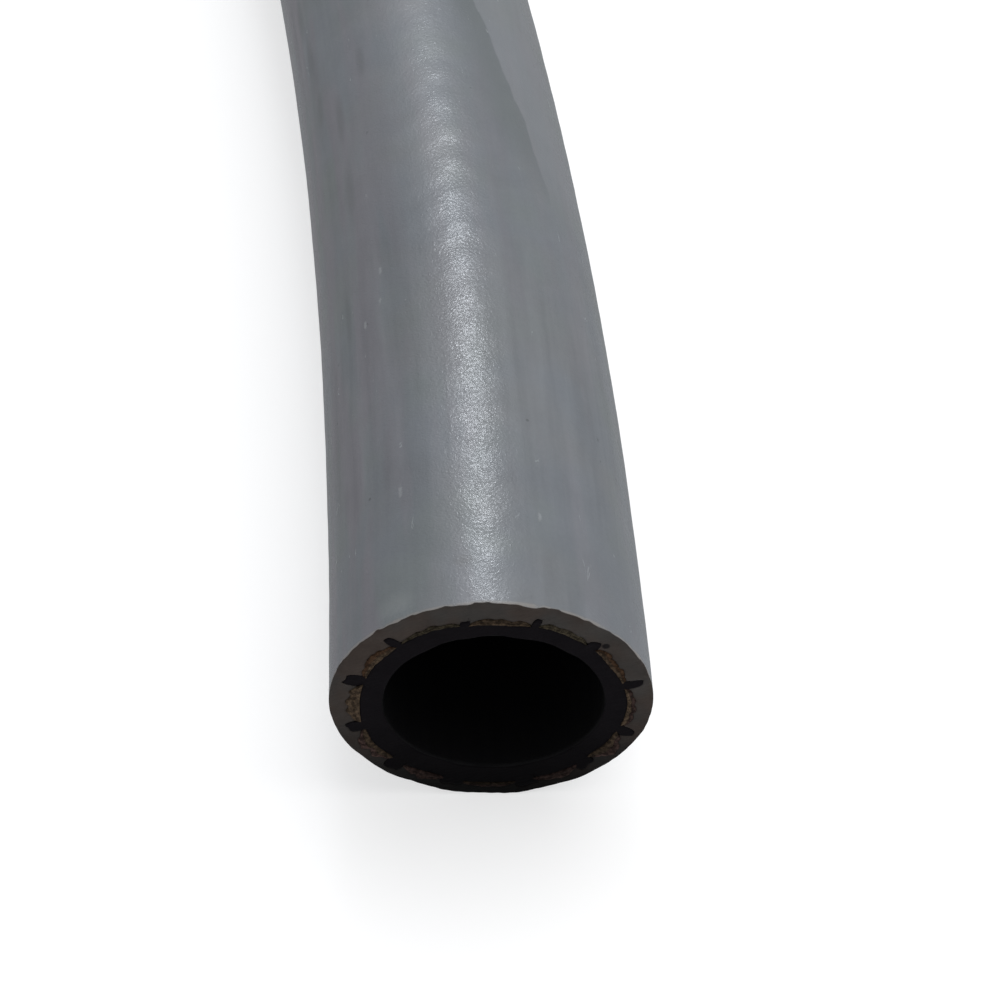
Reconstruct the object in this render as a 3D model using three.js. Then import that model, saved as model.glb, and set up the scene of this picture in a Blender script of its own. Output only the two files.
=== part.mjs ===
// A one-foot length of 5/8 in push-lock (push-on) hose, cut bare at both ends.
// Millimetres, +Z up. The hose lies on its side in a gentle bend, as it comes off a coil,
// and touches the plane z = 0 along its whole length.
// Origin: the middle of the hose's bounding box in X and Y, on the plane z = 0.
// The near end's cut face looks along -Y. The bend carries the far end towards -X.
import * as THREE from "three";

// ---- section ----
const OUTER_D = 23.4; // outside diameter of the cover
const BORE_D = 15.9; // 5/8 in bore
const COVER_INNER_R = 10.3; // cover wall 1.4 mm
const BRAID_OUTER_R = 10.25; // textile reinforcement, 0.95 mm of yarn
const BRAID_INNER_R = 9.3;
const TUBE_OUTER_R = 9.25; // inner tube wall 1.3 mm
const BORE_SHIFT = 0.2; // the bore sits this far to the right of the cover's centre

// ---- run ----
const LENGTH = 304.8; // along the centreline: one foot
const BEND_RADIUS = 653.6; // set of the hose, in the horizontal plane
const CUT_SLANT = 0.02655; // radians by which the near cut is off square

// ---- facets ----
const SIDES = 40; // sides of each round section
const STEPS = 24; // sections along the run

const OUTER_R = OUTER_D / 2;
const BORE_R = BORE_D / 2;

// The centreline: an arc at the height of the cover's radius. Its heading is measured from +Y towards -X.
// It leaves the near face at the cut's slant, and every later section is square to it.
class HoseRun extends THREE.Curve {
  heading(t) {
    return CUT_SLANT + (t * LENGTH) / BEND_RADIUS;
  }
  getPoint(t, target = new THREE.Vector3()) {
    const h0 = this.heading(0),
      h = this.heading(t);
    return target.set(
      BEND_RADIUS * (Math.cos(h) - Math.cos(h0)) + shiftX,
      BEND_RADIUS * (Math.sin(h) - Math.sin(h0)) + shiftY,
      OUTER_R,
    );
  }
  // The first section lies in the plane of the near cut, which looks along -Y.
  getTangent(t, target = new THREE.Vector3()) {
    const h = t < 1e-6 ? 0 : this.heading(t);
    return target.set(-Math.sin(h), Math.cos(h), 0);
  }
}

// The bounding box's middle goes to the origin: the box runs from the far end's outer corner to the near
// end's right side in X, and from the near face to the far end's outer corner in Y.
const farHeading = CUT_SLANT + LENGTH / BEND_RADIUS;
const farX = BEND_RADIUS * (Math.cos(farHeading) - Math.cos(CUT_SLANT));
const farY = BEND_RADIUS * (Math.sin(farHeading) - Math.sin(CUT_SLANT));
const boxMinX = farX - OUTER_R * Math.cos(farHeading);
const boxMaxX = OUTER_R;
const boxMaxY = farY + OUTER_R * Math.sin(farHeading);
const shiftX = -(boxMinX + boxMaxX) / 2;
const shiftY = -boxMaxY / 2;

const run = new HoseRun();

// Points of a circle, with a corner at the very top and bottom. In an extruded section the
// shape's x points to the left of the run and its y points up.
function circle(radius, left = 0) {
  const points = [];
  for (let i = 0; i < SIDES; i++) {
    const a = (2 * Math.PI * i) / SIDES;
    points.push(
      new THREE.Vector2(left + radius * Math.cos(a), radius * Math.sin(a)),
    );
  }
  return points;
}

function tube(outer, inner) {
  const section = new THREE.Shape(outer);
  section.holes.push(new THREE.Path(inner));
  return new THREE.ExtrudeGeometry(section, {
    steps: STEPS,
    extrudePath: run,
    bevelEnabled: false,
    curveSegments: SIDES,
  });
}

function piece(name, geometry, color, roughness) {
  const mesh = new THREE.Mesh(
    geometry,
    new THREE.MeshStandardMaterial({ color, roughness, metalness: 0 }),
  );
  mesh.name = name;
  return mesh;
}

const group = new THREE.Group();

group.add(
  // grey rubber cover
  piece(
    "outer_cover",
    tube(circle(OUTER_R), circle(COVER_INNER_R)),
    0x7a7f84,
    0.62,
  ),
  // layer of textile yarn bundles between the cover and the tube
  piece(
    "textile_braid",
    tube(circle(BRAID_OUTER_R), circle(BRAID_INNER_R)),
    0x8c6f55,
    0.9,
  ),
  // black rubber tube that carries the fluid
  piece(
    "inner_tube",
    tube(circle(TUBE_OUTER_R), circle(BORE_R, -BORE_SHIFT)),
    0x151415,
    0.7,
  ),
);

export default group;
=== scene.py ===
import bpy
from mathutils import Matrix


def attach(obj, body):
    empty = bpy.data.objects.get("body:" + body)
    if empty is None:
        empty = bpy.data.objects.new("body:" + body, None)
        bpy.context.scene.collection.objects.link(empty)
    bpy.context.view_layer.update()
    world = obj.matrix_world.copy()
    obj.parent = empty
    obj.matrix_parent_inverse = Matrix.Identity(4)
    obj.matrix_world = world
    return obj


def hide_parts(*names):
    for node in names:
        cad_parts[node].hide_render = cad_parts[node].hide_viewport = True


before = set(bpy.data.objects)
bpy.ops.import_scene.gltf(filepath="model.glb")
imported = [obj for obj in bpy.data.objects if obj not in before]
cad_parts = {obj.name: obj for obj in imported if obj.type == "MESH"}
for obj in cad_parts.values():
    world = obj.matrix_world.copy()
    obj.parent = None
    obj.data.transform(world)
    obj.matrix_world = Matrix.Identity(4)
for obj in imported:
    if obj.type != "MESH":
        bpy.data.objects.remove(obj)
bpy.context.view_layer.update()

import math

import bmesh
import bpy
import numpy as np
from mathutils import Matrix, Vector

# ---------------------------------------------------------------- the hose, in millimetres
OUTER_R = 11.7
COVER_INNER_R = 10.3
BRAID_OUTER_R = 10.25
BRAID_INNER_R = 9.3
TUBE_OUTER_R = 9.25
BORE_R = 7.95
BORE_SHIFT = 0.2
LENGTH = 304.8
BEND_RADIUS = 653.6
CUT_SLANT = 0.02655
RELIEF = 0.030  # depth of the braid's relief in the cover

FAR_HEADING = CUT_SLANT + LENGTH / BEND_RADIUS
FAR_X = BEND_RADIUS * (math.cos(FAR_HEADING) - math.cos(CUT_SLANT))
FAR_Y = BEND_RADIUS * (math.sin(FAR_HEADING) - math.sin(CUT_SLANT))
X0 = -(FAR_X - OUTER_R * math.cos(FAR_HEADING) + OUTER_R) / 2
Y0 = -(FAR_Y + OUTER_R * math.sin(FAR_HEADING)) / 2


def smooth(x):
    x = np.clip(x, 0.0, 1.0)
    return x * x * (3 - 2 * x)


def centre(s):
    h = CUT_SLANT + np.asarray(s, float) / BEND_RADIUS
    return (
        BEND_RADIUS * (np.cos(h) - math.cos(CUT_SLANT)) + X0,
        BEND_RADIUS * (np.sin(h) - math.sin(CUT_SLANT)) + Y0,
        h,
    )


def place(s, th, r, right=0.0):
    """Points in metres: s along the run, th round the section from the right side over the top, r from the centreline."""
    s, th, r = np.broadcast_arrays(np.asarray(s, float), np.asarray(th, float), np.asarray(r, float))
    # the section turns from the plane of the near cut to square within the first 8 mm
    inside = np.clip(s, 0.0, LENGTH)
    cx, cy, h = centre(inside)
    hp = h * smooth(inside / 8.0)
    side = r * np.cos(th) + right
    over = s - inside  # a little past a cut
    near = s < LENGTH / 2
    ox = np.where(near, 0.0, -np.sin(h)) * over
    oy = np.where(near, 1.0, np.cos(h)) * over
    return np.stack([cx + side * np.cos(hp) + ox, cy + side * np.sin(hp) + oy, OUTER_R + r * np.sin(th)], -1) * 0.001


# ---------------------------------------------------------------- camera
# It stands where the photograph was taken: above the near end, looking along the hose.
cam_data = bpy.data.cameras.new("camera")
cam = bpy.data.objects.new("camera", cam_data)
bpy.context.scene.collection.objects.link(cam)
cam_data.sensor_width = 36.0
cam_data.lens = 77.99
cam_data.clip_start = 0.01
cam_data.clip_end = 20.0
cam_at = Vector((0.0374311, -0.2395805, 0.1392059))
looks_at = Vector((0.0390123, -0.1293175, 0.0117))
cam.location = cam_at
cam.rotation_mode = "QUATERNION"
cam.rotation_quaternion = (looks_at - cam_at).to_track_quat("-Z", "Y")
bpy.context.scene.camera = cam

# ---------------------------------------------------------------- repeatable noise
rng = np.random.default_rng(58)


def ring_noise(low, high, rough=0.0):
    """A periodic function of the angle with waves between low and high cycles a turn, about 1 at most."""
    k = np.arange(low, high + 1)
    a = rng.normal(size=len(k)) / (k / low) ** rough
    p = rng.uniform(0, 2 * np.pi, len(k))
    a /= math.sqrt((a**2).sum()) * 1.1

    def f(th):
        th = np.asarray(th, float)
        return (a * np.cos(np.multiply.outer(th, k) + p)).sum(-1)

    return f


def skin_noise(wave, count=26):
    """Smooth noise over the skin, with waves of about that many millimetres."""
    d = rng.normal(size=(count, 3))
    d /= np.linalg.norm(d, axis=1)[:, None]
    k = d * (2 * np.pi / wave) * rng.uniform(0.6, 1.5, count)[:, None]
    p = rng.uniform(0, 2 * np.pi, count)

    def f(s, th):
        s, th = np.broadcast_arrays(np.asarray(s, float), np.asarray(th, float))
        q = np.stack([OUTER_R * np.cos(th), s, OUTER_R * np.sin(th)], -1)
        return np.cos(q @ k.T + p).sum(-1) / math.sqrt(count / 2)

    return f


# ---------------------------------------------------------------- the braid under the cover
# Rubber shows between the yarn bundles at these angles of the near cut, in degrees.
CARRIERS = 12  # bundles each way round
NUBS_NEAR = np.array([12, 43, 71.5, 101, 132, 162, 194.5, 225.5, 253.5, 284, 312.5, 340.5])
CROSSINGS = 79  # rows of the braid along the hose
AXIAL_PERIOD = LENGTH / CROSSINGS  # 3.86 mm
TWIST = 2 * np.pi / CARRIERS / AXIAL_PERIOD

_k = np.arange(CARRIERS)
_mean = np.degrees(np.angle(np.exp(1j * np.radians(NUBS_NEAR - 30 * _k)).mean()))
EVEN = _mean + 30 * _k  # the gaps, evenly spaced
NUBS_FAR = EVEN + rng.uniform(-3.2, 3.2, CARRIERS)
_rest = (NUBS_NEAR - EVEN + 180) % 360 - 180
_four = [(m, 2 / CARRIERS * (_rest * np.cos(m * np.radians(NUBS_NEAR))).sum(), 2 / CARRIERS * (_rest * np.sin(m * np.radians(NUBS_NEAR))).sum()) for m in (1, 2, 3, 4)]


def bundle_phase(th, near):
    """Phase in turns across the bundles: a whole number at each gap. near is 1 at the near cut and 0 away from it."""
    th = np.asarray(th, float)
    shift = sum(a * np.cos(m * th) + b * np.sin(m * th) for m, a, b in _four)
    return (np.degrees(th) - _mean - shift * near) / 30.0


relief_a = skin_noise(26)
relief_b = skin_noise(9)
relief_c = skin_noise(3.4)
strength_noise = skin_noise(30)
lattice_slip = skin_noise(14)

WRINKLES = [  # angle, place along, skew, length, height
    (math.radians(48.5), 39.0, 0.55, 1.5, 0.050),
    (math.radians(41.0), 37.2, -0.9, 1.7, -0.055),
    (math.radians(36.0), 34.0, -0.7, 1.8, 0.050),
    (math.radians(55.0), 33.2, 0.9, 1.4, -0.045),
    (math.radians(30.0), 30.8, -0.5, 1.4, -0.045),
    (math.radians(33.5), 36.8, 1.1, 1.2, -0.040),
]


def braid_height(s, th):
    """1 where two bundles cross under the cover, 0 over a gap."""
    near = 1 - smooth(s / 40.0)
    slip = 0.05 * lattice_slip(s, th)
    a = 0.5 - 0.5 * np.cos(2 * np.pi * (bundle_phase(th + TWIST * s, near) + slip))
    b = 0.5 - 0.5 * np.cos(2 * np.pi * (bundle_phase(th - TWIST * s, near) - slip))
    return 0.42 * a + 0.34 * b + 0.24 * a * b


def outer_radius(s, th):
    s, th = np.broadcast_arrays(np.asarray(s, float), np.asarray(th, float))
    # the braid shows through most along the top, least on the flanks
    about_top = 0.5 + 0.5 * np.sin(th)
    depth = RELIEF * (0.30 + 0.70 * about_top**3) * (1.0 + 0.30 * np.clip(strength_noise(s, th), -1.2, 1.2))
    r = OUTER_R - depth * (1 - braid_height(s, th))
    r = r - 0.018 * (1 + np.clip(relief_a(s, th), -1, 1)) - 0.006 * (1 + np.clip(relief_b(s, th), -1, 1))
    r = r - 0.0022 * (1 + np.clip(relief_c(s, th), -1, 1))
    # the near end was squeezed a little as it was cut
    r = r - 0.10 * np.exp(-(((th - math.radians(222) + np.pi) % (2 * np.pi) - np.pi) / 0.42) ** 2) * np.exp(-np.clip(s, 0, None) / 6.0)
    # low wrinkles on the right flank
    for th0, s0, skew, length, high in WRINKLES:
        u = (th - th0) * OUTER_R
        v = s - s0
        along = u * math.cos(skew) + v * math.sin(skew)
        across = -u * math.sin(skew) + v * math.cos(skew)
        r = r + high * np.exp(-((along / length) ** 2) - (across / 0.40) ** 2)
    return np.minimum(r, OUTER_R)


# ---------------------------------------------------------------- closed shells from rings
class Shell:
    """Vertices and faces gathered ring by ring. Each vertex keeps where it lies on the unrolled hose."""

    def __init__(self):
        self.v, self.lay, self.ts, self.tint, self.f, self.mat, self.n = [], [], [], [], [], [], 0

    def ring(self, s, th, r, right=0.0, tint=(1.0, 1.0, 1.0)):
        s = np.broadcast_to(np.asarray(s, float), th.shape)
        r = np.broadcast_to(np.asarray(r, float), th.shape)
        self.v.append(place(s, th, r, right))
        self.lay.append(np.stack([r * np.cos(th), s, r * np.sin(th)], -1))
        self.ts.append(np.stack([((th - np.pi / 2 + np.pi) % (2 * np.pi) - np.pi) * OUTER_R, s, r], -1))
        self.tint.append(np.broadcast_to(np.asarray(tint, float), (len(th), 3)))
        first = self.n
        self.n += len(th)
        return first, len(th)

    def join(self, a, b, mat, turn=False):
        """Faces between ring a and the next ring b, whose counts are multiples of each other."""
        (fa, na), (fb, nb) = a, b
        if na >= nb:
            many, few, m, n, k, flip = fa, fb, na, nb, na // nb, turn
        else:
            many, few, m, n, k, flip = fb, fa, nb, na, nb // na, not turn
        for i in range(n):
            low = [few + (i + 1) % n, few + i]
            high = [many + (i * k + j) % m for j in range(k + 1)]
            loop = high + low
            self.f.append(loop[::-1] if flip else loop)
            self.mat.append(mat)

    def object(self, name, materials, tinted=False):
        verts = np.concatenate(self.v)
        mesh = bpy.data.meshes.new(name)
        mesh.from_pydata(verts.tolist(), [], self.f)
        for mat in materials:
            mesh.materials.append(mat)
        mesh.polygons.foreach_set("material_index", np.array(self.mat, np.int32))
        mesh.polygons.foreach_set("use_smooth", np.ones(len(self.f), bool))
        rows = [("lay", self.lay), ("ts", self.ts)] + ([("tint", self.tint)] if tinted else [])
        for key, values in rows:
            layer = mesh.attributes.new(key, "FLOAT_VECTOR", "POINT")
            layer.data.foreach_set("vector", np.concatenate(values).astype(np.float32).ravel())
        mesh.update()
        mesh.validate()
        bm = bmesh.new()  # each closed shell faces outwards
        bm.from_mesh(mesh)
        bmesh.ops.recalc_face_normals(bm, faces=bm.faces)
        bm.to_mesh(mesh)
        bm.free()
        obj = bpy.data.objects.new(name, mesh)
        bpy.context.scene.collection.objects.link(obj)
        return obj


def turn(n):
    return np.arange(n) * (2 * np.pi / n) - np.pi / 2 + np.pi / n


def wrap(angle):
    return (angle + np.pi) % (2 * np.pi) - np.pi


# ---------------------------------------------------------------- shapes of the cut ends
# Finishes of the yarn where it is cut, in linear colour.
TAN, ORANGE, PINK, OLIVE = np.array([(0.066, 0.046, 0.030), (0.054, 0.030, 0.017), (0.058, 0.036, 0.031), (0.050, 0.041, 0.027)])

# Each bundle of the near cut, from the right side over the top: where its inner side lies,
# how thick it is, and the finishes of its outer and inner layers.
NEAR_BUNDLES = [
    (9.50, 0.60, 0.95 * ORANGE, 0.90 * TAN),
    (9.62, 0.46, 0.95 * OLIVE, 0.90 * OLIVE),
    (9.30, 0.56, 0.66 * TAN, 0.86 * TAN),
    (9.60, 0.34, 0.80 * OLIVE, 0.85 * OLIVE),
    (9.38, 0.74, 1.00 * ORANGE, 1.05 * TAN),
    (9.48, 0.90, 1.00 * TAN, 1.15 * TAN),
    (9.80, 0.98, 1.10 * PINK, 0.90 * TAN),
    (10.02, 0.78, 1.00 * PINK, 0.90 * PINK),
    (10.16, 0.48, 0.75 * PINK, 0.60 * TAN),
    (10.10, 0.74, 0.95 * PINK, 0.85 * PINK),
    (9.88, 1.10, 1.05 * PINK, 0.85 * TAN),
    (9.82, 0.62, 0.70 * PINK, 1.10 * TAN),
]
NEAR_REACH = [10.86, 10.22, 10.46, 10.02, 10.44, 10.78, 10.74, 10.90, 10.80, 10.90, 10.96, 11.04]
NEAR_WIDTH = [0.052, 0.080, 0.036, 0.050, 0.046, 0.074, 0.068, 0.085, 0.115, 0.110, 0.095, 0.060]
NEAR_TILT = [0.2, 0.4, -0.2, -0.5, 0.3, 0.2, 0.1, 0.2, -0.2, 0.1, -0.1, -0.4]


class End:
    """The outlines of the layers where the hose is cut."""

    def __init__(self, nubs, reach, width, tilt, bundles, far):
        self.far = far
        self.nubs = np.radians(nubs)
        self.next = np.append(self.nubs[1:], self.nubs[0] + 2 * np.pi)
        self.mids = (self.nubs + self.next) / 2
        self.width = np.array(width)
        self.tilt = np.array(tilt)
        self.reach = np.array(reach)
        self.low_at = np.array([b[0] for b in bundles])
        self.thick_at = np.array([b[1] for b in bundles])
        self.outer_tint = [b[2] for b in bundles]
        self.inner_tint = [b[3] for b in bundles]
        self.slow = ring_noise(5, 22, 0.4)
        self.lump = ring_noise(14, 60, 0.3)
        self.fine = ring_noise(40, 110, 0.3)
        self.edge_slow = ring_noise(7, 24, 0.2)
        self.edge_fast = ring_noise(26, 80, 0.3)
        self.chip = ring_noise(9, 40, 0.1)
        self.face = ring_noise(4, 16, 0.4)
        self.tube_face = ring_noise(4, 20, 0.5)
        self.start = self.nubs - self.width * 0.80  # the bundles run between these
        left = self.nubs + self.width * 0.80
        right = self.next - np.roll(self.width, -1) * 0.80
        self.centre_at, self.half_at = (left + right) / 2, (right - left) / 2

    def s(self, d):
        return LENGTH - d if self.far else d

    def bundle(self, th):
        """The bundle that each angle lies in, and how far across it: -1 to 1, beyond that in rubber."""
        th = np.mod(th - self.nubs[0], 2 * np.pi) + self.nubs[0]
        k = np.clip(np.searchsorted(self.nubs, th, side="right") - 1, 0, CARRIERS - 1)
        return k, (th - self.centre_at[k]) / self.half_at[k]

    def low(self, th):
        """The inner side of the braid."""
        x = np.mod(th - self.mids[0], 2 * np.pi)
        stops = np.append(self.mids - self.mids[0], 2 * np.pi)
        k = np.clip(np.searchsorted(stops, x, side="right") - 1, 0, CARRIERS - 1)
        u = smooth((x - stops[k]) / (stops[k + 1] - stops[k]))
        base = self.low_at[k] * (1 - u) + self.low_at[(k + 1) % CARRIERS] * u
        return base + 0.060 * self.slow(th) + 0.018 * self.lump(th)

    def thick(self, th):
        k, t = self.bundle(th)
        shape = np.clip(1 - np.abs(t) ** 4.0, 0, 1) ** 0.6
        return self.thick_at[k] * shape * np.clip(1 + 0.17 * self.lump(th) + 0.05 * self.fine(th), 0.5, 1.4)

    def nub(self, th):
        """How far the tube's rubber stands out between the bundles."""
        out = np.zeros_like(th)
        low = self.low(th)
        uneven = 1 + 0.22 * self.lump(th) + 0.06 * self.fine(th)
        for t, w, reach in zip(self.nubs, self.width, self.reach):
            u = np.abs(wrap(th - t)) / w
            out = np.maximum(out, (reach - low) * (1 - smooth((u - 0.36) / 0.74)) * uneven)
        return out

    def fade(self, d):
        """1 at the cut, 0 where the layers run plain behind it."""
        return 1 - smooth((d - 0.8) / 2.2)

    def tube_radius(self, th, d):
        f = self.fade(d)
        return TUBE_OUTER_R * (1 - f) + f * (self.low(th) - 0.010 + self.nub(th))

    def cover_inner(self, th, d):
        f = self.fade(d)
        return COVER_INNER_R * (1 - f) + f * (self.low(th) + np.maximum(self.thick(th), self.nub(th)) + 0.010)

    def pinch(self, th, r, share=1.0):
        """Gives each nub a neck and a rounder head, by moving points round the section."""
        up = smooth((r - self.low(th) - 0.05) / 0.62)
        head = -0.36 + 0.72 * up
        move = np.zeros_like(th)
        for t, w, tilt in zip(self.nubs, self.width, self.tilt):
            u = wrap(th - t)
            move = move + (u * head + tilt * w * up) * np.exp(-((u / (1.8 * w)) ** 2))
        return th + move * share

    def edge(self, th):
        """How far the knife's edge line wanders along the hose, with a few chips."""
        chips = smooth((self.chip(th) - 0.35) / 0.45) * 0.10
        top = 0.22 + 0.78 * smooth(0.5 + 0.9 * np.sin(th))  # the blade left the lower half cleaner
        return (0.048 * self.edge_slow(th) + 0.050 * self.edge_fast(th) + chips) * top


def plain_bundles():
    rows = []
    for k in range(CARRIERS):
        tone = (TAN, TAN, ORANGE, PINK)[rng.integers(0, 4)]
        rows.append((rng.uniform(9.34, 9.62), rng.uniform(0.30, 0.62), tone * rng.uniform(0.55, 0.9), TAN * rng.uniform(0.6, 1.05)))
    return rows


near_end = End(NUBS_NEAR, NEAR_REACH, NEAR_WIDTH, NEAR_TILT, NEAR_BUNDLES, False)
far_end = End(NUBS_FAR, rng.uniform(10.25, 10.75, CARRIERS), rng.uniform(0.045, 0.10, CARRIERS), rng.uniform(-0.5, 0.5, CARRIERS), plain_bundles(), True)

FACE_N = 576
face_th = turn(FACE_N)
# rings whose counts are halved keep the corner that starts each pair
edge_th = face_th[::2].copy()
wall_th = edge_th[::2].copy()
inner_th = wall_th[::2].copy()


def build_cover(skin, cut):
    sh = Shell()
    rings = []  # (ring, material of the faces that lead to the next ring)

    def face(end, inward):
        """Rings of one cut face between the braid and the outer edge."""
        rows = []
        outer_here = outer_radius(end.s(0.0), face_th)
        inner_here = end.cover_inner(face_th, 0.0)
        for f in (0.0, 0.04, 0.10, 0.20, 0.32, 0.46, 0.60, 0.74, 0.86, 0.94, 0.985):
            r = inner_here + (outer_here - 0.05 - inner_here) * f
            lean = 0.050 * end.face(face_th) * (0.35 + 0.65 * f) + end.edge(face_th) * f**6
            bulge = 0.035 * math.exp(-((f / 0.10) ** 2)) + 0.012 * end.lump(face_th) * (1 - f)
            rows.append((end.pinch(face_th, inner_here, (1 - f) ** 2), end.s(lean + bulge), r))
        # the corner
        for inset, d in ((0.030, 0.012), (0.008, 0.05)):
            rows.append((face_th, end.s(d + 0.05 * end.face(face_th) + end.edge(face_th)), outer_radius(end.s(d), face_th) - inset))
        return rows if not inward else rows[::-1]

    # near face, from the braid out to the edge
    for th, s, r in face(near_end, False):
        rings.append((sh.ring(s, th, r), 1))
    rings[-1] = (rings[-1][0], 0)
    # skin, near end
    for d in (0.13, 0.25, 0.45, 0.75, 1.1, 1.5, 2.0, 2.5):
        th = edge_th
        w = math.exp(-((d / 0.5) ** 2))
        rings.append((sh.ring(d + (0.05 * near_end.face(th) + near_end.edge(th)) * w, th, outer_radius(d, th)), 0))
    # skin
    s_main = np.concatenate([np.linspace(3.0, 92.0, 232), np.linspace(92.5, LENGTH - 3.0, 262)])
    for s in s_main:
        rings.append((sh.ring(s, wall_th, outer_radius(s, wall_th)), 0))
    for d in (2.5, 2.0, 1.5, 1.1, 0.75, 0.45, 0.25, 0.13):
        w = math.exp(-((d / 0.5) ** 2))
        th = edge_th
        rings.append((sh.ring(LENGTH - d - (0.05 * far_end.face(th) + far_end.edge(th)) * w, th, outer_radius(LENGTH - d, th)), 0))
    rows = face(far_end, True)
    for n, (th, s, r) in enumerate(rows):
        rings.append((sh.ring(s, th, r), 1))
    # inner wall, hidden between the layers
    for end, ds in ((far_end, (0.35, 0.9, 1.6, 2.4)), (near_end, (2.4, 1.6, 0.9, 0.35))):
        if end is near_end:
            for s in np.linspace(LENGTH - 8, 8, 36):
                rings.append((sh.ring(s, inner_th, COVER_INNER_R), 1))
        for d in ds:
            th = face_th if d < 1.0 else edge_th if d < 2.0 else wall_th
            r = end.cover_inner(th, d)
            rings.append((sh.ring(end.s(d), end.pinch(th, r, end.fade(d)) if d < 1.0 else th, r), 1))
    for (a, mat), (b, _) in zip(rings, rings[1:] + rings[:1]):
        sh.join(a, b, mat)
    return sh.object("hose_cover", [skin, cut])


def build_tube(rubber, bore):
    sh = Shell()
    rings = []

    def bore_edge(th, d):
        """The shifted bore as a radius about the hose's own centre. Its edge is a little rounded and uneven."""
        b = BORE_R + 0.10 * math.exp(-((d / 0.09) ** 2))
        return BORE_SHIFT * np.cos(th) + np.sqrt(b * b - (BORE_SHIFT * np.sin(th)) ** 2)

    def face(end):
        rows = []
        out_here = end.tube_radius(face_th, 0.0)
        in_here = bore_edge(face_th, 0.0) + 0.03 * end.tube_face(face_th)
        for f in (0.0, 0.10, 0.25, 0.42, 0.60, 0.76, 0.88, 0.96, 1.0):
            r = in_here + (out_here - in_here) * f
            nub = end.nub(face_th) * f**3
            lean = 0.03 * end.face(face_th) + 0.035 * end.tube_face(face_th) + 0.02 * end.lump(face_th) * f - 0.03 * np.minimum(nub, 1.0)
            if f == 1.0:
                lean = lean + 0.045
                r = r - 0.008
            rows.append((end.pinch(face_th, out_here, f**3), end.s(lean), r))
        return rows

    for th, s, r in face(near_end):
        rings.append((sh.ring(s, th, r), 0))
    for end, ds in ((near_end, (0.3, 0.9, 1.5, 2.2, 3.0)), (far_end, (3.0, 2.2, 1.5, 0.9, 0.3))):
        if end is far_end:
            for s in np.linspace(8, LENGTH - 8, 36):
                rings.append((sh.ring(s, inner_th, TUBE_OUTER_R), 0))
        for d in ds:
            th = face_th if d < 1.0 else edge_th if d < 2.0 else wall_th
            r = end.tube_radius(th, d)
            rings.append((sh.ring(end.s(d), end.pinch(th, r, end.fade(d)) if d < 1.0 else th, r), 0))
    for th, s, r in face(far_end)[::-1]:
        rings.append((sh.ring(s, th, r), 0))
    rings[-1] = (rings[-1][0], 1)
    # bore, from the far end back to the near one
    for d in (0.06, 0.14, 0.3, 1.0):
        th = wall_th if d > 0.2 else edge_th
        rings.append((sh.ring(LENGTH - d, th, bore_edge(th, d)), 1))
    for s in np.linspace(LENGTH - 4, 4, 56):
        rings.append((sh.ring(s, wall_th, bore_edge(wall_th, 9.0)), 1))
    for d in (1.0, 0.3, 0.14, 0.06):
        th = wall_th if d > 0.2 else edge_th
        rings.append((sh.ring(d, th, bore_edge(th, d)), 1))
    for (a, mat), (b, _) in zip(rings, rings[1:] + rings[:1]):
        sh.join(a, b, mat)
    return sh.object("hose_tube", [rubber, bore])


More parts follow.
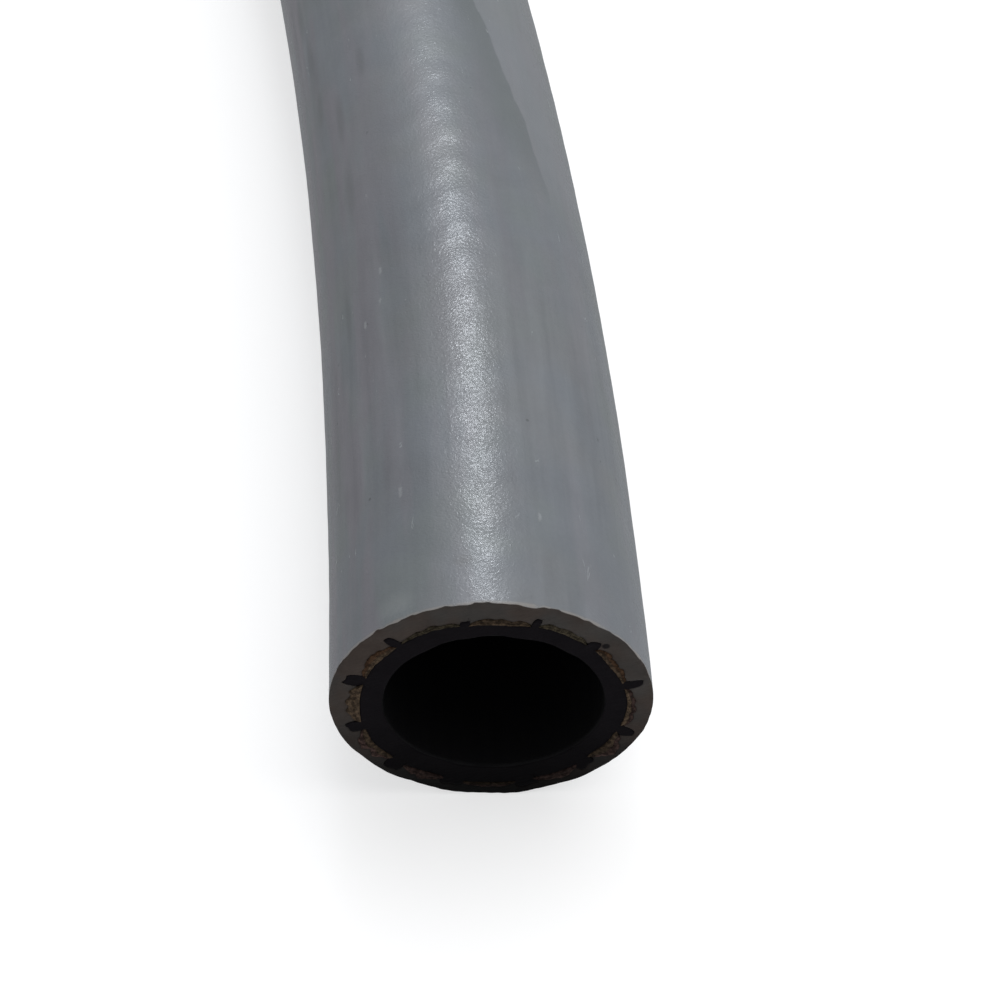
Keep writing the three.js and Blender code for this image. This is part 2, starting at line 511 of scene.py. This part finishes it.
def build_yarn(yarn):
    """The braid: twelve flat bundles each way round, over one and under one. At a crossing row, where the hose
    is cut, the two ways lie on each other between two nubs of rubber."""
    sh = Shell()
    MANY, FEW = 48, 8
    HELD = 0.4  # just behind a cut the bundles run straight
    twist = np.radians(30.0) * CROSSINGS / (LENGTH - 2 * HELD)
    middle, wave, plain_half, plain_thick = 9.775, 0.215, math.radians(12.4), 0.40
    s_cut = [-1.0, 0.0, 0.15, 0.4, 0.8, 1.3, 1.9, 2.6]
    s_run = np.arange(3.4, LENGTH - 3.0, AXIAL_PERIOD / 4)

    def outline(n):
        u = np.arange(n) / n
        top = u < 0.5
        return np.where(top, -1 + 4 * u, 3 - 4 * u), top

    for way in (1, -1):
        for k in range(CARRIERS):
            k_far = (k + way * CROSSINGS) % CARRIERS
            even_near = math.radians(EVEN[k] + 15)
            even_far = even_near + way * math.radians(30.0) * CROSSINGS
            off_near = wrap(near_end.centre_at[k] - even_near)
            off_far = wrap(far_end.centre_at[k_far] - even_far)
            lift = rng.uniform(0.015, 0.075, 2)
            tints = [
                (near_end.outer_tint if way > 0 else near_end.inner_tint)[k],
                (far_end.outer_tint if way > 0 else far_end.inner_tint)[k_far],
            ]

            def section(s, n, spread=1.0):
                """Angles and radii of the bundle's outline at s."""
                t, top = outline(n)
                near_w, far_w = 1 - smooth(s / 12.0), 1 - smooth((LENGTH - s) / 12.0)
                run = np.clip(s - HELD, 0, LENGTH - 2 * HELD)
                centre_now = even_near + way * twist * run + off_near * near_w + off_far * far_w
                half = near_end.half_at[k] * near_w + far_end.half_at[k_far] * far_w + plain_half * (1 - near_w - far_w)
                th = centre_now + t * half * spread
                over = way * np.cos(np.pi * (2 * way * twist * run + t * half) / math.radians(30.0))
                body = plain_thick * np.sqrt(np.clip(1 - t**4, 0, 1)) / 2 + 0.02
                r = middle + wave * over + np.where(top, body, -body)
                end, d = (near_end, s) if s < LENGTH / 2 else (far_end, LENGTH - s)
                w = 1 - smooth((d - 0.3) / 2.2)
                if w > 0:
                    low, thick = end.low(th), end.thick(th)
                    share = np.where(top, 1.0, 0.5) if way > 0 else np.where(top, 0.5, 0.0)
                    cut = low + thick * share
                    r = r * (1 - w) + cut * w
                    th = end.pinch(th, r, w)
                return th, r

            def cap(end_no):
                """The cut yarn: an uneven tuft with a ridge along its middle."""
                s0 = 0.0 if end_no == 0 else LENGTH
                out = -1 if end_no == 0 else 1
                end = (near_end, far_end)[end_no]
                th, r = section(s0, MANY)
                rough = 0.022 * end.fine(th * 1.0) + 0.016 * end.lump(th + r)
                edge = sh.ring(s0 + out * (lift[end_no] * 0.4 + rough), th, r, tint=tints[end_no])
                half_n = MANY // 2
                top, low = np.arange(1, half_n), MANY - np.arange(1, half_n)
                mid_th, mid_r = (th[top] + th[low]) / 2, (r[top] + r[low]) / 2
                rough = 0.035 * end.fine(mid_th * 1.0 + 0.3 * way) + 0.02 * end.lump(mid_th)
                ridge, _ = sh.ring(s0 + out * (lift[end_no] + rough), mid_th, mid_r, tint=tints[end_no])
                e = edge[0]
                for i in range(half_n):
                    a = ridge + i - 1 if i > 0 else e
                    b = ridge + i if i < half_n - 1 else e + half_n
                    if i == 0:
                        sh.f += [[e, e + 1, b], [e, b, e + MANY - 1]]
                    elif i == half_n - 1:
                        sh.f += [[e + i, e + half_n, a], [a, e + half_n, e + half_n + 1]]
                    else:
                        sh.f += [[e + i, e + i + 1, b, a], [a, b, e + MANY - i - 1, e + MANY - i]]
                    sh.mat += [0, 0]
                return edge

            last = cap(0)
            for d in s_cut[2:]:
                th, r = section(d, MANY)
                now = sh.ring(d, th, r, tint=tints[0])
                sh.join(last, now, 0)
                last = now
            for s in s_run:
                th, r = section(s, FEW)
                now = sh.ring(s, th, r, tint=tints[0] if s < LENGTH / 2 else tints[1])
                sh.join(last, now, 0)
                last = now
            for d in s_cut[:1:-1]:
                th, r = section(LENGTH - d, MANY)
                now = sh.ring(LENGTH - d, th, r, tint=tints[1])
                sh.join(last, now, 0)
                last = now
            sh.join(last, cap(1), 0)
    return sh.object("hose_braid", [yarn], tinted=True)


# ---------------------------------------------------------------- materials
class Nodes:
    def __init__(self, name):
        self.mat = bpy.data.materials.new(name)
        self.mat.use_nodes = True
        self.t = self.mat.node_tree
        self.t.nodes.clear()
        self.out = self.t.nodes.new("ShaderNodeOutputMaterial")
        self.bsdf = self.t.nodes.new("ShaderNodeBsdfPrincipled")
        self.t.links.new(self.bsdf.outputs[0], self.out.inputs["Surface"])

    def node(self, kind, **values):
        n = self.t.nodes.new(kind)
        for key, value in values.items():
            setattr(n, key, value)
        return n

    def put(self, value, socket):
        if isinstance(value, bpy.types.NodeSocket):
            self.t.links.new(value, socket)
        else:
            socket.default_value = value

    def attr(self, name):
        return self.node("ShaderNodeAttribute", attribute_name=name).outputs["Vector"]

    def math(self, op, a, b=0.0, c=None, clamp=False):
        n = self.node("ShaderNodeMath", operation=op, use_clamp=clamp)
        self.put(a, n.inputs[0])
        self.put(b, n.inputs[1])
        if c is not None:
            self.put(c, n.inputs[2])
        return n.outputs[0]

    def vmul(self, a, b):
        n = self.node("ShaderNodeVectorMath", operation="MULTIPLY")
        self.put(a, n.inputs[0])
        self.put(b, n.inputs[1])
        return n.outputs[0]

    def vadd(self, a, b):
        n = self.node("ShaderNodeVectorMath", operation="ADD")
        self.put(a, n.inputs[0])
        self.put(b, n.inputs[1])
        return n.outputs[0]

    def split(self, a):
        n = self.node("ShaderNodeSeparateXYZ")
        self.put(a, n.inputs[0])
        return n.outputs

    def noise(self, vector, scale, detail=2.0, rough=0.5, distortion=0.0):
        n = self.node("ShaderNodeTexNoise")
        self.put(vector, n.inputs["Vector"])
        n.inputs["Scale"].default_value = scale
        n.inputs["Detail"].default_value = detail
        n.inputs["Roughness"].default_value = rough
        n.inputs["Distortion"].default_value = distortion
        return n.outputs["Fac"]

    def ramp(self, value, low, high, to_low=0.0, to_high=1.0, kind="SMOOTHSTEP"):
        n = self.node("ShaderNodeMapRange", interpolation_type=kind)
        self.put(value, n.inputs["Value"])
        self.put(low, n.inputs["From Min"])
        self.put(high, n.inputs["From Max"])
        n.inputs["To Min"].default_value = to_low
        n.inputs["To Max"].default_value = to_high
        return n.outputs["Result"]

    def mix(self, fac, a, b, blend="MIX"):
        n = self.node("ShaderNodeMix", data_type="RGBA", blend_type=blend)
        self.put(fac, n.inputs[0])
        self.put(a if isinstance(a, bpy.types.NodeSocket) else (*a, 1.0), n.inputs[6])
        self.put(b if isinstance(b, bpy.types.NodeSocket) else (*b, 1.0), n.inputs[7])
        return n.outputs[2]

    def shade(self, colour, value):
        """colour times a grey value."""
        c = self.node("ShaderNodeCombineColor")
        for i in range(3):
            self.put(value, c.inputs[i])
        return self.mix(1.0, colour, c.outputs[0], "MULTIPLY")

    def bump(self, height, distance, normal=None, strength=1.0):
        n = self.node("ShaderNodeBump")
        n.inputs["Strength"].default_value = strength
        n.inputs["Distance"].default_value = distance
        self.put(height, n.inputs["Height"])
        if normal is not None:
            self.put(normal, n.inputs["Normal"])
        return n.outputs[0]


def skin_material():
    m = Nodes("cover_skin")
    lay = m.attr("lay")  # millimetres on the straightened hose: x, along, z
    ts = m.split(m.attr("ts"))  # arc from the top (left is positive), along, radius
    arc, along = ts[0], ts[1]

    # chalky grey rubber with slow mottling
    slow = m.noise(lay, 0.075, 3.0, 0.55)
    mid = m.noise(lay, 0.32, 3.0, 0.6)
    fine = m.noise(lay, 2.6, 3.0, 0.65)
    grain = m.noise(lay, 7.0, 2.0, 0.6)
    streak_at = m.vmul(lay, (1.0, 0.055, 1.0))
    streak = m.noise(streak_at, 0.62, 3.0, 0.55, 0.3)
    hair = m.noise(m.vmul(lay, (1.0, 0.09, 1.0)), 2.1, 2.0, 0.5)

    value = m.math("ADD", 0.768, m.math("MULTIPLY", slow, 0.20))
    value = m.math("ADD", value, m.math("MULTIPLY", mid, 0.16))
    value = m.math("ADD", value, m.math("MULTIPLY", fine, 0.10))
    value = m.math("ADD", value, m.math("MULTIPLY", grain, 0.04))
    # streaks along the hose, stronger in patches
    patch = m.ramp(m.noise(lay, 0.05, 1.0, 0.5), 0.42, 0.62, 0.25, 1.0)
    streaks = m.math("MULTIPLY", m.ramp(streak, 0.34, 0.66, -0.085, 0.075, "LINEAR"), patch)
    flank = m.ramp(arc, 5.0, 12.0, 1.0, 1.7)
    value = m.math("ADD", value, m.math("MULTIPLY", streaks, flank))
    # a little paler about 80 mm from the near cut
    value = m.math("ADD", value, m.math("MULTIPLY", m.ramp(along, 35.0, 82.0), m.ramp(along, 150.0, 100.0, 0.0, 0.055)))
    value = m.math("ADD", value, m.math("MULTIPLY", m.math("SUBTRACT", hair, 0.5), 0.10))

    # tints: a blue-grey base with warmer and greener patches
    warm = m.ramp(m.noise(m.vadd(lay, (31.0, 7.0, 3.0)), 0.11, 2.0, 0.5), 0.42, 0.66)
    green = m.ramp(m.noise(m.vadd(lay, (5.0, 61.0, 23.0)), 0.13, 2.0, 0.5), 0.45, 0.68)
    colour = m.mix(warm, (0.137, 0.148, 0.162), (0.142, 0.149, 0.157))
    colour = m.mix(m.math("MULTIPLY", green, 0.6), colour, (0.134, 0.150, 0.149))
    mauve = m.ramp(m.noise(m.vmul(m.vadd(lay, (17.0, 3.0, 9.0)), (1.0, 0.12, 1.0)), 0.42, 2.0, 0.5), 0.44, 0.62)
    mauve = m.math("MULTIPLY", mauve, m.ramp(arc, 3.0, 11.0, 0.35, 1.0))
    colour = m.mix(mauve, colour, (0.148, 0.145, 0.160))
    colour = m.shade(colour, value)

    # a lighter band on the right flank, with a crisp left edge
    edge_line = m.math("ADD", -4.9, m.math("MULTIPLY", m.math("SUBTRACT", 68.5, along), -0.165))
    edge_line = m.math("ADD", edge_line, m.math("MULTIPLY", m.math("SUBTRACT", m.noise(lay, 0.25, 2.0), 0.5), 1.1))
    band = m.ramp(m.math("SUBTRACT", edge_line, arc), -0.05, 0.22)
    band_fade = m.math("MULTIPLY", m.ramp(along, 40.0, 50.0), m.ramp(m.math("SUBTRACT", edge_line, arc), 9.0, 2.0))
    band = m.math("MULTIPLY", band, band_fade)
    colour = m.mix(m.math("MULTIPLY", band, 0.42), colour, (0.185, 0.194, 0.203))
    # the skin beside that edge is darker and greener
    beside = m.math("MULTIPLY", m.ramp(m.math("SUBTRACT", edge_line, arc), -4.2, -0.5), m.ramp(m.math("SUBTRACT", edge_line, arc), 0.22, -0.05))
    beside = m.math("MULTIPLY", beside, m.math("MULTIPLY", m.ramp(along, 42.0, 52.0), m.ramp(along, 76.0, 68.0)))
    colour = m.mix(m.math("MULTIPLY", beside, 0.75), colour, (0.112, 0.124, 0.127))

    # small pale scuffs, and a few dark specks
    scuff_at = m.vmul(lay, (1.0, 0.32, 1.0))
    scuff = m.ramp(m.noise(scuff_at, 0.95, 4.0, 0.7, 0.5), 0.655, 0.74)
    colour = m.mix(m.math("MULTIPLY", scuff, 0.34), colour, (0.24, 0.25, 0.262))
    speck = m.node("ShaderNodeTexVoronoi", feature="F1")
    m.put(lay, speck.inputs["Vector"])
    speck.inputs["Scale"].default_value = 0.19
    speck.inputs["Randomness"].default_value = 1.0
    spot = m.ramp(speck.outputs["Distance"], 0.022, 0.034, 1.0, 0.0)
    colour = m.mix(m.math("MULTIPLY", spot, 0.45), colour, (0.05, 0.05, 0.05))

    # marks where the photographed hose has them: place round and along, half sizes
    place_at = m.node("ShaderNodeCombineXYZ")
    m.put(m.math("ADD", arc, m.math("MULTIPLY", m.math("SUBTRACT", grain, 0.5), 0.35)), place_at.inputs[0])
    m.put(m.math("ADD", along, m.math("MULTIPLY", m.math("SUBTRACT", fine, 0.5), 1.2)), place_at.inputs[1])

    def marks(rows):
        total = None
        for degrees, s, wide, long in rows:
            off = m.vadd(place_at.outputs[0], (-math.radians(degrees - 90) * OUTER_R, -s, 0.0))
            size = m.node("ShaderNodeVectorMath", operation="LENGTH")
            m.put(m.vmul(off, (1 / wide, 1 / long, 0.0)), size.inputs[0])
            one = m.ramp(size.outputs["Value"], 1.0, 0.2)
            total = one if total is None else m.math("MAXIMUM", total, one)
        return total

    shadows = marks([(154, 75.7, 0.7, 4.5), (150.5, 68.7, 0.8, 4.0), (148, 60.9, 0.6, 3.5), (135.8, 56.8, 0.7, 4.5), (134.7, 47.4, 0.8, 5.0), (121.3, 62.5, 0.6, 3.0), (142, 33.0, 0.6, 4.0)])
    colour = m.mix(m.math("MULTIPLY", shadows, 0.55), colour, (0.112, 0.118, 0.124))
    smudge = marks([(98.2, 4.0, 1.3, 0.7)])
    colour = m.mix(m.math("MULTIPLY", smudge, 0.40), colour, (0.105, 0.108, 0.108))
    pale = marks([(123.5, 35.8, 0.20, 0.6), (124.6, 32.5, 0.16, 0.5), (132.8, 30.8, 0.22, 0.6), (70.7, 8.3, 0.18, 0.6), (120.6, 12.0, 0.25, 0.8)])
    colour = m.mix(m.math("MULTIPLY", pale, 0.55), colour, (0.25, 0.26, 0.27))
    worn = marks([(124.0, 1.6, 2.2, 1.5)])
    colour = m.mix(m.math("MULTIPLY", worn, 0.22), colour, (0.25, 0.26, 0.26))
    dark = marks([(131.7, 30.7, 0.13, 0.13), (122.7, 52.7, 0.16, 0.2), (151.2, 29.5, 0.15, 0.15), (39.3, 18.4, 0.15, 0.25), (39.2, 16.3, 0.13, 0.13)])
    colour = m.mix(m.math("MULTIPLY", dark, 0.6), colour, (0.06, 0.06, 0.06))

    # the rim by the cut is paler and warmer: worn, and with a painted highlight of its rounded edge
    from_near = along
    from_far = m.math("SUBTRACT", LENGTH, along)
    from_cut = m.math("MINIMUM", from_near, from_far)
    rim = m.ramp(from_cut, 0.42, 0.06)
    rim = m.math("MULTIPLY", rim, m.ramp(m.noise(lay, 1.1, 3.0, 0.6), 0.32, 0.58, 0.35, 1.0))
    colour = m.mix(m.math("MULTIPLY", rim, 0.8), colour, (0.20, 0.182, 0.165))
    m.put(colour, m.bsdf.inputs["Base Color"])

    rough = m.math("ADD", 0.17, m.math("MULTIPLY", mid, 0.09))
    rough = m.math("ADD", rough, m.math("MULTIPLY", scuff, 0.12))
    rough = m.math("ADD", rough, m.math("MULTIPLY", rim, 0.15))
    m.put(rough, m.bsdf.inputs["Roughness"])
    m.bsdf.inputs["Specular IOR Level"].default_value = 0.5
    m.bsdf.inputs["IOR"].default_value = 1.5

    # fine skin: a crumpled orange peel with a finer grain in it
    warp = m.noise(lay, 0.8, 1.0, 0.5)
    peel = m.noise(lay, 2.7, 1.0, 0.45, 0.7)
    ridge = m.math("ABSOLUTE", m.math("SUBTRACT", peel, 0.5))
    grain = m.noise(lay, 4.1, 1.0, 0.5, 0.4)
    height = m.math("ADD", m.math("MULTIPLY", ridge, 0.55), m.math("MULTIPLY", grain, 0.30))
    height = m.math("ADD", height, m.math("MULTIPLY", warp, 0.35))
    # the crumpling is finest and clearest along the first 40 mm
    height = m.math("MULTIPLY", height, m.math("MULTIPLY", m.ramp(along, 64.0, 30.0, 0.75, 1.0), m.ramp(along, 2.0, 12.0, 0.7, 1.0)))
    normal = m.bump(height, 0.000058)
    m.put(normal, m.bsdf.inputs["Normal"])
    return m.mat


def _rotated(self, vector, angle):
    n = self.node("ShaderNodeVectorRotate", rotation_type="AXIS_ANGLE")
    self.put(vector, n.inputs["Vector"])
    n.inputs["Axis"].default_value = (0.0, 0.0, 1.0)
    n.inputs["Angle"].default_value = angle
    return n.outputs[0]


Nodes.rotated = _rotated


def _grime(self, lay):
    """Painted shade: the cut faces are darker towards the underside of the hose."""
    height = self.math("ADD", self.split(lay)[2], self.math("MULTIPLY", self.math("SUBTRACT", self.noise(lay, 0.22, 2.0), 0.5), 3.0))
    return self.ramp(height, -12.0, 0.5, 0.03, 1.0)


Nodes.grime = _grime


def cut_material():
    """The cover's rubber where the knife went through: browner than the skin, and darker, partly its own tone and
    partly painted shade of the cut face.
    """
    m = Nodes("cover_cut")
    lay = m.attr("lay")
    blotch = m.noise(lay, 0.30, 3.0, 0.6)
    fine = m.noise(lay, 3.2, 3.0, 0.7)
    # knife marks run across the face
    marks = m.noise(m.vmul(m.rotated_y(lay, 0.35), (0.22, 1.0, 1.0)), 4.2, 3.0, 0.6)
    warm = m.ramp(m.noise(m.vadd(lay, (3.0, 0.0, 11.0)), 0.24, 2.0, 0.5), 0.40, 0.64)
    # dark browns: the cut rubber's own tone, with painted shade of the end face in it
    colour = m.mix(warm, (0.047, 0.043, 0.040), (0.053, 0.041, 0.035))
    value = m.math("ADD", 0.46, m.math("MULTIPLY", blotch, 0.74))
    value = m.math("ADD", value, m.math("MULTIPLY", fine, 0.22))
    value = m.math("ADD", value, m.math("MULTIPLY", m.math("SUBTRACT", marks, 0.5), 0.22))
    # painted shade: the cut face is darkened towards the underside of the hose
    value = m.math("MULTIPLY", value, m.grime(lay))
    colour = m.shade(colour, value)
    # a speck of the tube's rubber, dragged into the cover by the blade
    gap = m.node("ShaderNodeVectorMath", operation="DISTANCE")
    m.put(lay, gap.inputs[0])
    gap.inputs[1].default_value = (8.03, 0.0, 6.69)
    colour = m.mix(m.ramp(gap.outputs["Value"], 0.20, 0.36, 0.9, 0.0), colour, (0.006, 0.005, 0.006))
    m.put(colour, m.bsdf.inputs["Base Color"])
    m.put(m.math("ADD", 0.52, m.math("MULTIPLY", fine, 0.16)), m.bsdf.inputs["Roughness"])
    height = m.math("ADD", m.math("MULTIPLY", marks, 0.9), m.math("MULTIPLY", fine, 0.5))
    m.put(m.bump(height, 0.000045), m.bsdf.inputs["Normal"])
    m.bsdf.inputs["Specular IOR Level"].default_value = 0.05
    return m.mat


def _rotated_y(self, vector, angle):
    n = self.node("ShaderNodeVectorRotate", rotation_type="AXIS_ANGLE")
    self.put(vector, n.inputs["Vector"])
    n.inputs["Axis"].default_value = (0.0, 1.0, 0.0)
    n.inputs["Angle"].default_value = angle
    return n.outputs[0]


Nodes.rotated_y = _rotated_y


def tube_material():
    m = Nodes("tube_cut")
    lay = m.attr("lay")
    fine = m.noise(lay, 2.4, 3.0, 0.65)
    marks = m.noise(m.vmul(m.rotated_y(lay, 0.35), (0.2, 1.0, 1.0)), 3.6, 3.0, 0.6)
    colour = m.mix(m.noise(lay, 0.4, 2.0), (0.0048, 0.0040, 0.0054), (0.0082, 0.0066, 0.0080))
    value = m.math("ADD", 0.7, m.math("MULTIPLY", fine, 0.6))
    # painted shade: the tube's cut face is darkened towards the underside of the hose
    colour = m.shade(colour, m.math("MULTIPLY", value, m.math("ADD", 0.15, m.math("MULTIPLY", m.grime(lay), 0.85))))
    m.put(colour, m.bsdf.inputs["Base Color"])
    m.put(m.math("ADD", 0.50, m.math("MULTIPLY", fine, 0.2)), m.bsdf.inputs["Roughness"])
    m.put(m.bump(m.math("ADD", m.math("MULTIPLY", marks, 0.8), m.math("MULTIPLY", fine, 0.4)), 0.00004), m.bsdf.inputs["Normal"])
    m.bsdf.inputs["Specular IOR Level"].default_value = 0.03
    return m.mat


def bore_material():
    m = Nodes("tube_bore")
    lay = m.attr("lay")
    fine = m.noise(lay, 1.6, 3.0, 0.6)
    draw = m.noise(m.vmul(lay, (1.0, 0.05, 1.0)), 1.3, 2.0, 0.5)
    m.put(m.shade((0.0040, 0.0038, 0.0042), m.math("ADD", 0.7, m.math("MULTIPLY", draw, 0.6))), m.bsdf.inputs["Base Color"])
    m.put(m.math("ADD", 0.55, m.math("MULTIPLY", fine, 0.20)), m.bsdf.inputs["Roughness"])
    m.put(m.bump(m.math("ADD", fine, draw), 0.00002), m.bsdf.inputs["Normal"])
    m.bsdf.inputs["Specular IOR Level"].default_value = 0.10
    return m.mat


def yarn_material():
    """Textile filaments cut across, some clean, some tinted by the adhesive that bonds them."""
    m = Nodes("yarn")
    lay = m.attr("lay")
    tint = m.attr("tint")
    fibres = m.noise(m.vmul(lay, (1.0, 0.35, 1.0)), 6.5, 3.0, 0.7)
    strands = m.noise(lay, 2.6, 3.0, 0.65)
    dirt = m.ramp(strands, 0.36, 0.66, 0.40, 1.30)
    value = m.math("MULTIPLY", dirt, m.math("ADD", 0.45, m.math("MULTIPLY", fibres, 1.1)))
    # painted shade: the yarn is darkened towards the underside of the hose
    value = m.math("MULTIPLY", value, m.math("ADD", 0.35, m.math("MULTIPLY", m.grime(lay), 0.65)))
    m.put(m.shade(tint, value), m.bsdf.inputs["Base Color"])
    m.bsdf.inputs["Roughness"].default_value = 0.9
    m.bsdf.inputs["Specular IOR Level"].default_value = 0.05
    m.put(m.bump(fibres, 0.00009), m.bsdf.inputs["Normal"])
    return m.mat


cover = build_cover(skin_material(), cut_material())
tube = build_tube(tube_material(), bore_material())
braid = build_yarn(yarn_material())

for piece, node, slot in (
    (cover, "outer_cover", "cover_rubber"),
    (braid, "textile_braid", "braid_yarn"),
    (tube, "inner_tube", "tube_rubber"),
):
    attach(piece, "root")
    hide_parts(node)

# ---------------------------------------------------------------- floor, light
bpy.context.scene.view_settings.view_transform = "Standard"
bpy.context.scene.view_settings.look = "None"

floor_mesh = bpy.data.meshes.new("floor")
floor_mesh.from_pydata([(-4, -4, 0), (4, -4, 0), (4, 4, 0), (-4, 4, 0)], [], [(0, 1, 2, 3)])
floor = bpy.data.objects.new("floor", floor_mesh)
bpy.context.scene.collection.objects.link(floor)
fm = Nodes("floor")
fm.bsdf.inputs["Base Color"].default_value = (0.47, 0.47, 0.47, 1)
fm.bsdf.inputs["Roughness"].default_value = 0.9
fm.bsdf.inputs["Specular IOR Level"].default_value = 0.1
fm.bsdf.inputs["Emission Color"].default_value = (1, 1, 1, 1)
fm.bsdf.inputs["Emission Strength"].default_value = 0.60
floor_mesh.materials.append(fm.mat)
floor.visible_glossy = False  # the skin doesn't mirror the floor

# The room: an even sky, dimmer where the hose's flanks mirror it, and plain pale behind the object.
world = bpy.data.worlds.new("world")
bpy.context.scene.world = world
world.use_nodes = True
wt = world.node_tree
wt.nodes.clear()
w_out = wt.nodes.new("ShaderNodeOutputWorld")
w_sky = wt.nodes.new("ShaderNodeBackground")
w_back = wt.nodes.new("ShaderNodeBackground")
w_pick = wt.nodes.new("ShaderNodeMixShader")
w_path = wt.nodes.new("ShaderNodeLightPath")
w_at = wt.nodes.new("ShaderNodeTexCoord")
w_xyz = wt.nodes.new("ShaderNodeSeparateXYZ")
w_up = wt.nodes.new("ShaderNodeMapRange")
w_side = wt.nodes.new("ShaderNodeMapRange")
w_mix = wt.nodes.new("ShaderNodeMix")
w_sky.inputs["Color"].default_value = (0.95, 0.97, 1.0, 1)
w_back.inputs["Color"].default_value = (0.97, 0.98, 1.0, 1)
w_back.inputs["Strength"].default_value = 0.98
w_up.interpolation_type = w_side.interpolation_type = "SMOOTHSTEP"
w_up.inputs["From Min"].default_value, w_up.inputs["From Max"].default_value = -0.15, 0.10
w_side.inputs["From Min"].default_value, w_side.inputs["From Max"].default_value = -0.35, 0.55
w_side.inputs["To Min"].default_value, w_side.inputs["To Max"].default_value = 0.31, 0.33
w_mix.data_type = "FLOAT"
w_mix.inputs[3].default_value = 0.42
wt.links.new(w_at.outputs["Generated"], w_xyz.inputs[0])
wt.links.new(w_xyz.outputs["Z"], w_up.inputs["Value"])
wt.links.new(w_xyz.outputs["X"], w_side.inputs["Value"])
wt.links.new(w_up.outputs["Result"], w_mix.inputs[0])
wt.links.new(w_side.outputs["Result"], w_mix.inputs[2])


def w_math(op, a, b=0.0):
    n = wt.nodes.new("ShaderNodeMath")
    n.operation = op
    for value, socket in ((a, n.inputs[0]), (b, n.inputs[1])):
        if isinstance(value, bpy.types.NodeSocket):
            wt.links.new(value, socket)
        else:
            socket.default_value = value
    return n.outputs[0]


def w_step(value, low, high):
    n = wt.nodes.new("ShaderNodeMapRange")
    n.interpolation_type = "SMOOTHSTEP"
    wt.links.new(value, n.inputs["Value"])
    n.inputs["From Min"].default_value, n.inputs["From Max"].default_value = low, high
    return n.outputs["Result"]


# a soft bright band of sky along the hose, beyond its far end
w_x = w_math("DIVIDE", w_math("ADD", w_xyz.outputs["X"], 0.07), 0.32)
w_band = w_math("EXPONENT", w_math("MULTIPLY", w_math("MULTIPLY", w_x, w_x), -1.0))
w_band = w_math("MULTIPLY", w_band, w_step(w_xyz.outputs["Y"], 0.1, 0.5))
w_band = w_math("MULTIPLY", w_band, w_step(w_xyz.outputs["Z"], 0.35, 0.78))
w_sum = w_math("ADD", w_mix.outputs[0], w_math("MULTIPLY", w_band, 2.0))
wt.links.new(w_sum, w_sky.inputs["Strength"])
wt.links.new(w_path.outputs["Is Camera Ray"], w_pick.inputs[0])
wt.links.new(w_sky.outputs[0], w_pick.inputs[1])
wt.links.new(w_back.outputs[0], w_pick.inputs[2])
wt.links.new(w_pick.outputs[0], w_out.inputs["Surface"])


def area(name, at, target, width, height, power, colour=(1, 1, 1)):
    data = bpy.data.lights.new(name, "AREA")
    data.shape = "RECTANGLE"
    data.size, data.size_y = width, height
    data.energy = power
    data.color = colour
    obj = bpy.data.objects.new(name, data)
    bpy.context.scene.collection.objects.link(obj)
    obj.location = at
    obj.rotation_mode = "QUATERNION"
    obj.rotation_quaternion = (Vector(target) - Vector(at)).to_track_quat("-Z", "Y")
    return obj


peak = Vector((0.0377, -0.130, 0.0234))  # the brightest place of the streak along the top
behind = Vector((0.0, 0.688, 0.725))
left = Vector((-0.018, 0.0, 0.0))
for name, wide, tall, power in (("strip_a", 0.08, 0.030, 0.230), ("strip_b", 0.19, 0.034, 0.160)):
    area(name, peak + behind * 0.60 + left, peak, wide, tall, power, (0.89, 0.94, 1.0))
overhead = area("overhead", (0.55, 0.15, 1.05), (0.03, -0.05, 0.0), 1.3, 1.3, 11.0)
overhead.visible_glossy = False  # it lights the skin but isn't mirrored beside the streak
